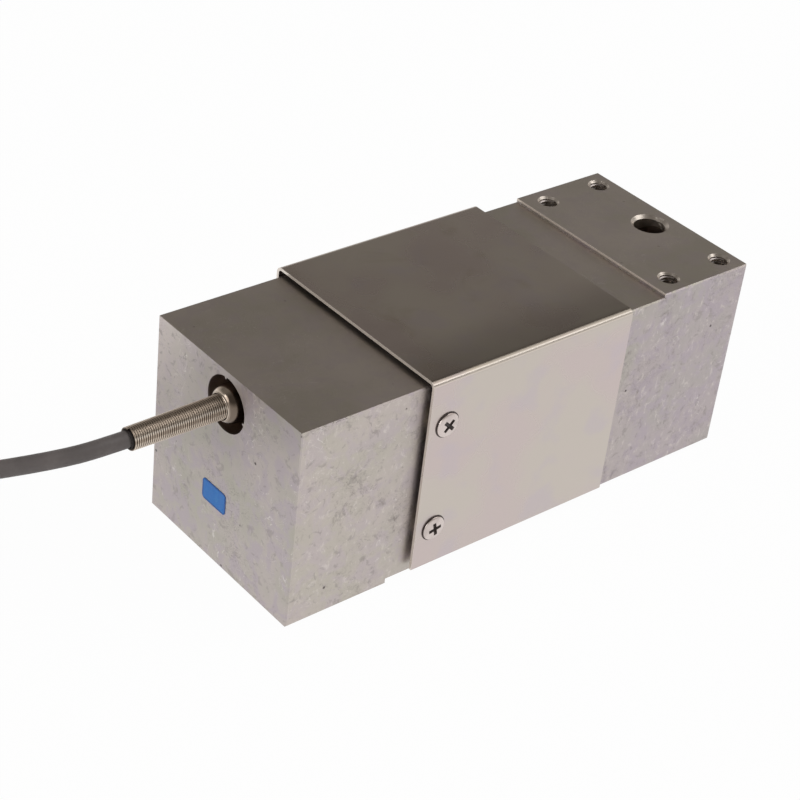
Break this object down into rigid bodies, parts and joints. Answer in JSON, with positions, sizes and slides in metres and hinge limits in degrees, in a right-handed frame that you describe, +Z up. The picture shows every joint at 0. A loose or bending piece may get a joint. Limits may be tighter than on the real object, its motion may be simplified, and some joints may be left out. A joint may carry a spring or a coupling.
{
  "type": "single point load cell",
  "caption": "Rectangular metal block with thinned flexures over a window, a folded sheet cover, tapped mounting holes at both ends and a cable with a spring strain relief.",
  "frame": {"origin": "middle of the block's length and width, in the plane of the pad under the fixed end", "axes": "+X along the block towards the live, loaded end, the cable leaves towards -X; +Z up, out of the loaded pad"},
  "size_m": [0.2526, 0.1205, 0.0608],
  "materials": {
    "block": "machined, clear anodised",
    "cover": "rolled sheet, satin",
    "screws": "plated",
    "spacers": "plated",
    "gland": "nickel plated, bright",
    "spring": "drawn wire",
    "seals": "moulded",
    "sleeve": "shrunk tube",
    "cable": "extruded jacket, matte",
    "tie": "moulded strap",
    "core_red": "extruded insulation",
    "core_black": "extruded insulation",
    "core_white": "extruded insulation",
    "core_green": "extruded insulation",
    "tinned_wire": "tinned strands",
    "gauge": "foil on film",
    "sealant": "silicone",
    "board": "printed board",
    "ribbon": "flexible film",
    "label": "blank, satin"
  },
  "bodies": {
    "root": {"sensing_block": "block", "cover": "cover", "cover_screw_front_lower": "screws", "cover_spacer_front_lower": "spacers", "cover_screw_front_upper": "screws", "cover_spacer_front_upper": "spacers", "cover_screw_rear_lower": "screws", "cover_spacer_rear_lower": "spacers", "cover_screw_rear_upper": "screws", "cover_spacer_rear_upper": "spacers", "gland_washer": "seals", "gland_body": "gland", "gland_grommet": "seals", "gland_ferrule": "gland", "relief_spring": "spring", "spring_sleeve": "sleeve", "cable_in_gland": "cable", "cable_run": "cable", "cable_coil": "cable", "cable_tail": "cable", "coil_tie": "tie", "end_sleeve": "sleeve", "lead_red": "core_red", "lead_black": "core_black", "lead_white": "core_white", "lead_green": "core_green", "drain_wire": "tinned_wire", "lead_tips": "tinned_wire", "strain_gauge_lower_fixed": "gauge", "gauge_sealant_lower_fixed": "sealant", "strain_gauge_lower_live": "gauge", "gauge_sealant_lower_live": "sealant", "strain_gauge_upper_fixed": "gauge", "gauge_sealant_upper_fixed": "sealant", "strain_gauge_upper_live": "gauge", "gauge_sealant_upper_live": "sealant", "board_pad": "seals", "terminal_board": "board", "core_wires": "core_white", "bridge_ribbon_lower": "ribbon", "bridge_ribbon_upper": "ribbon", "end_label": "label"}
  },
  "joints": []
}
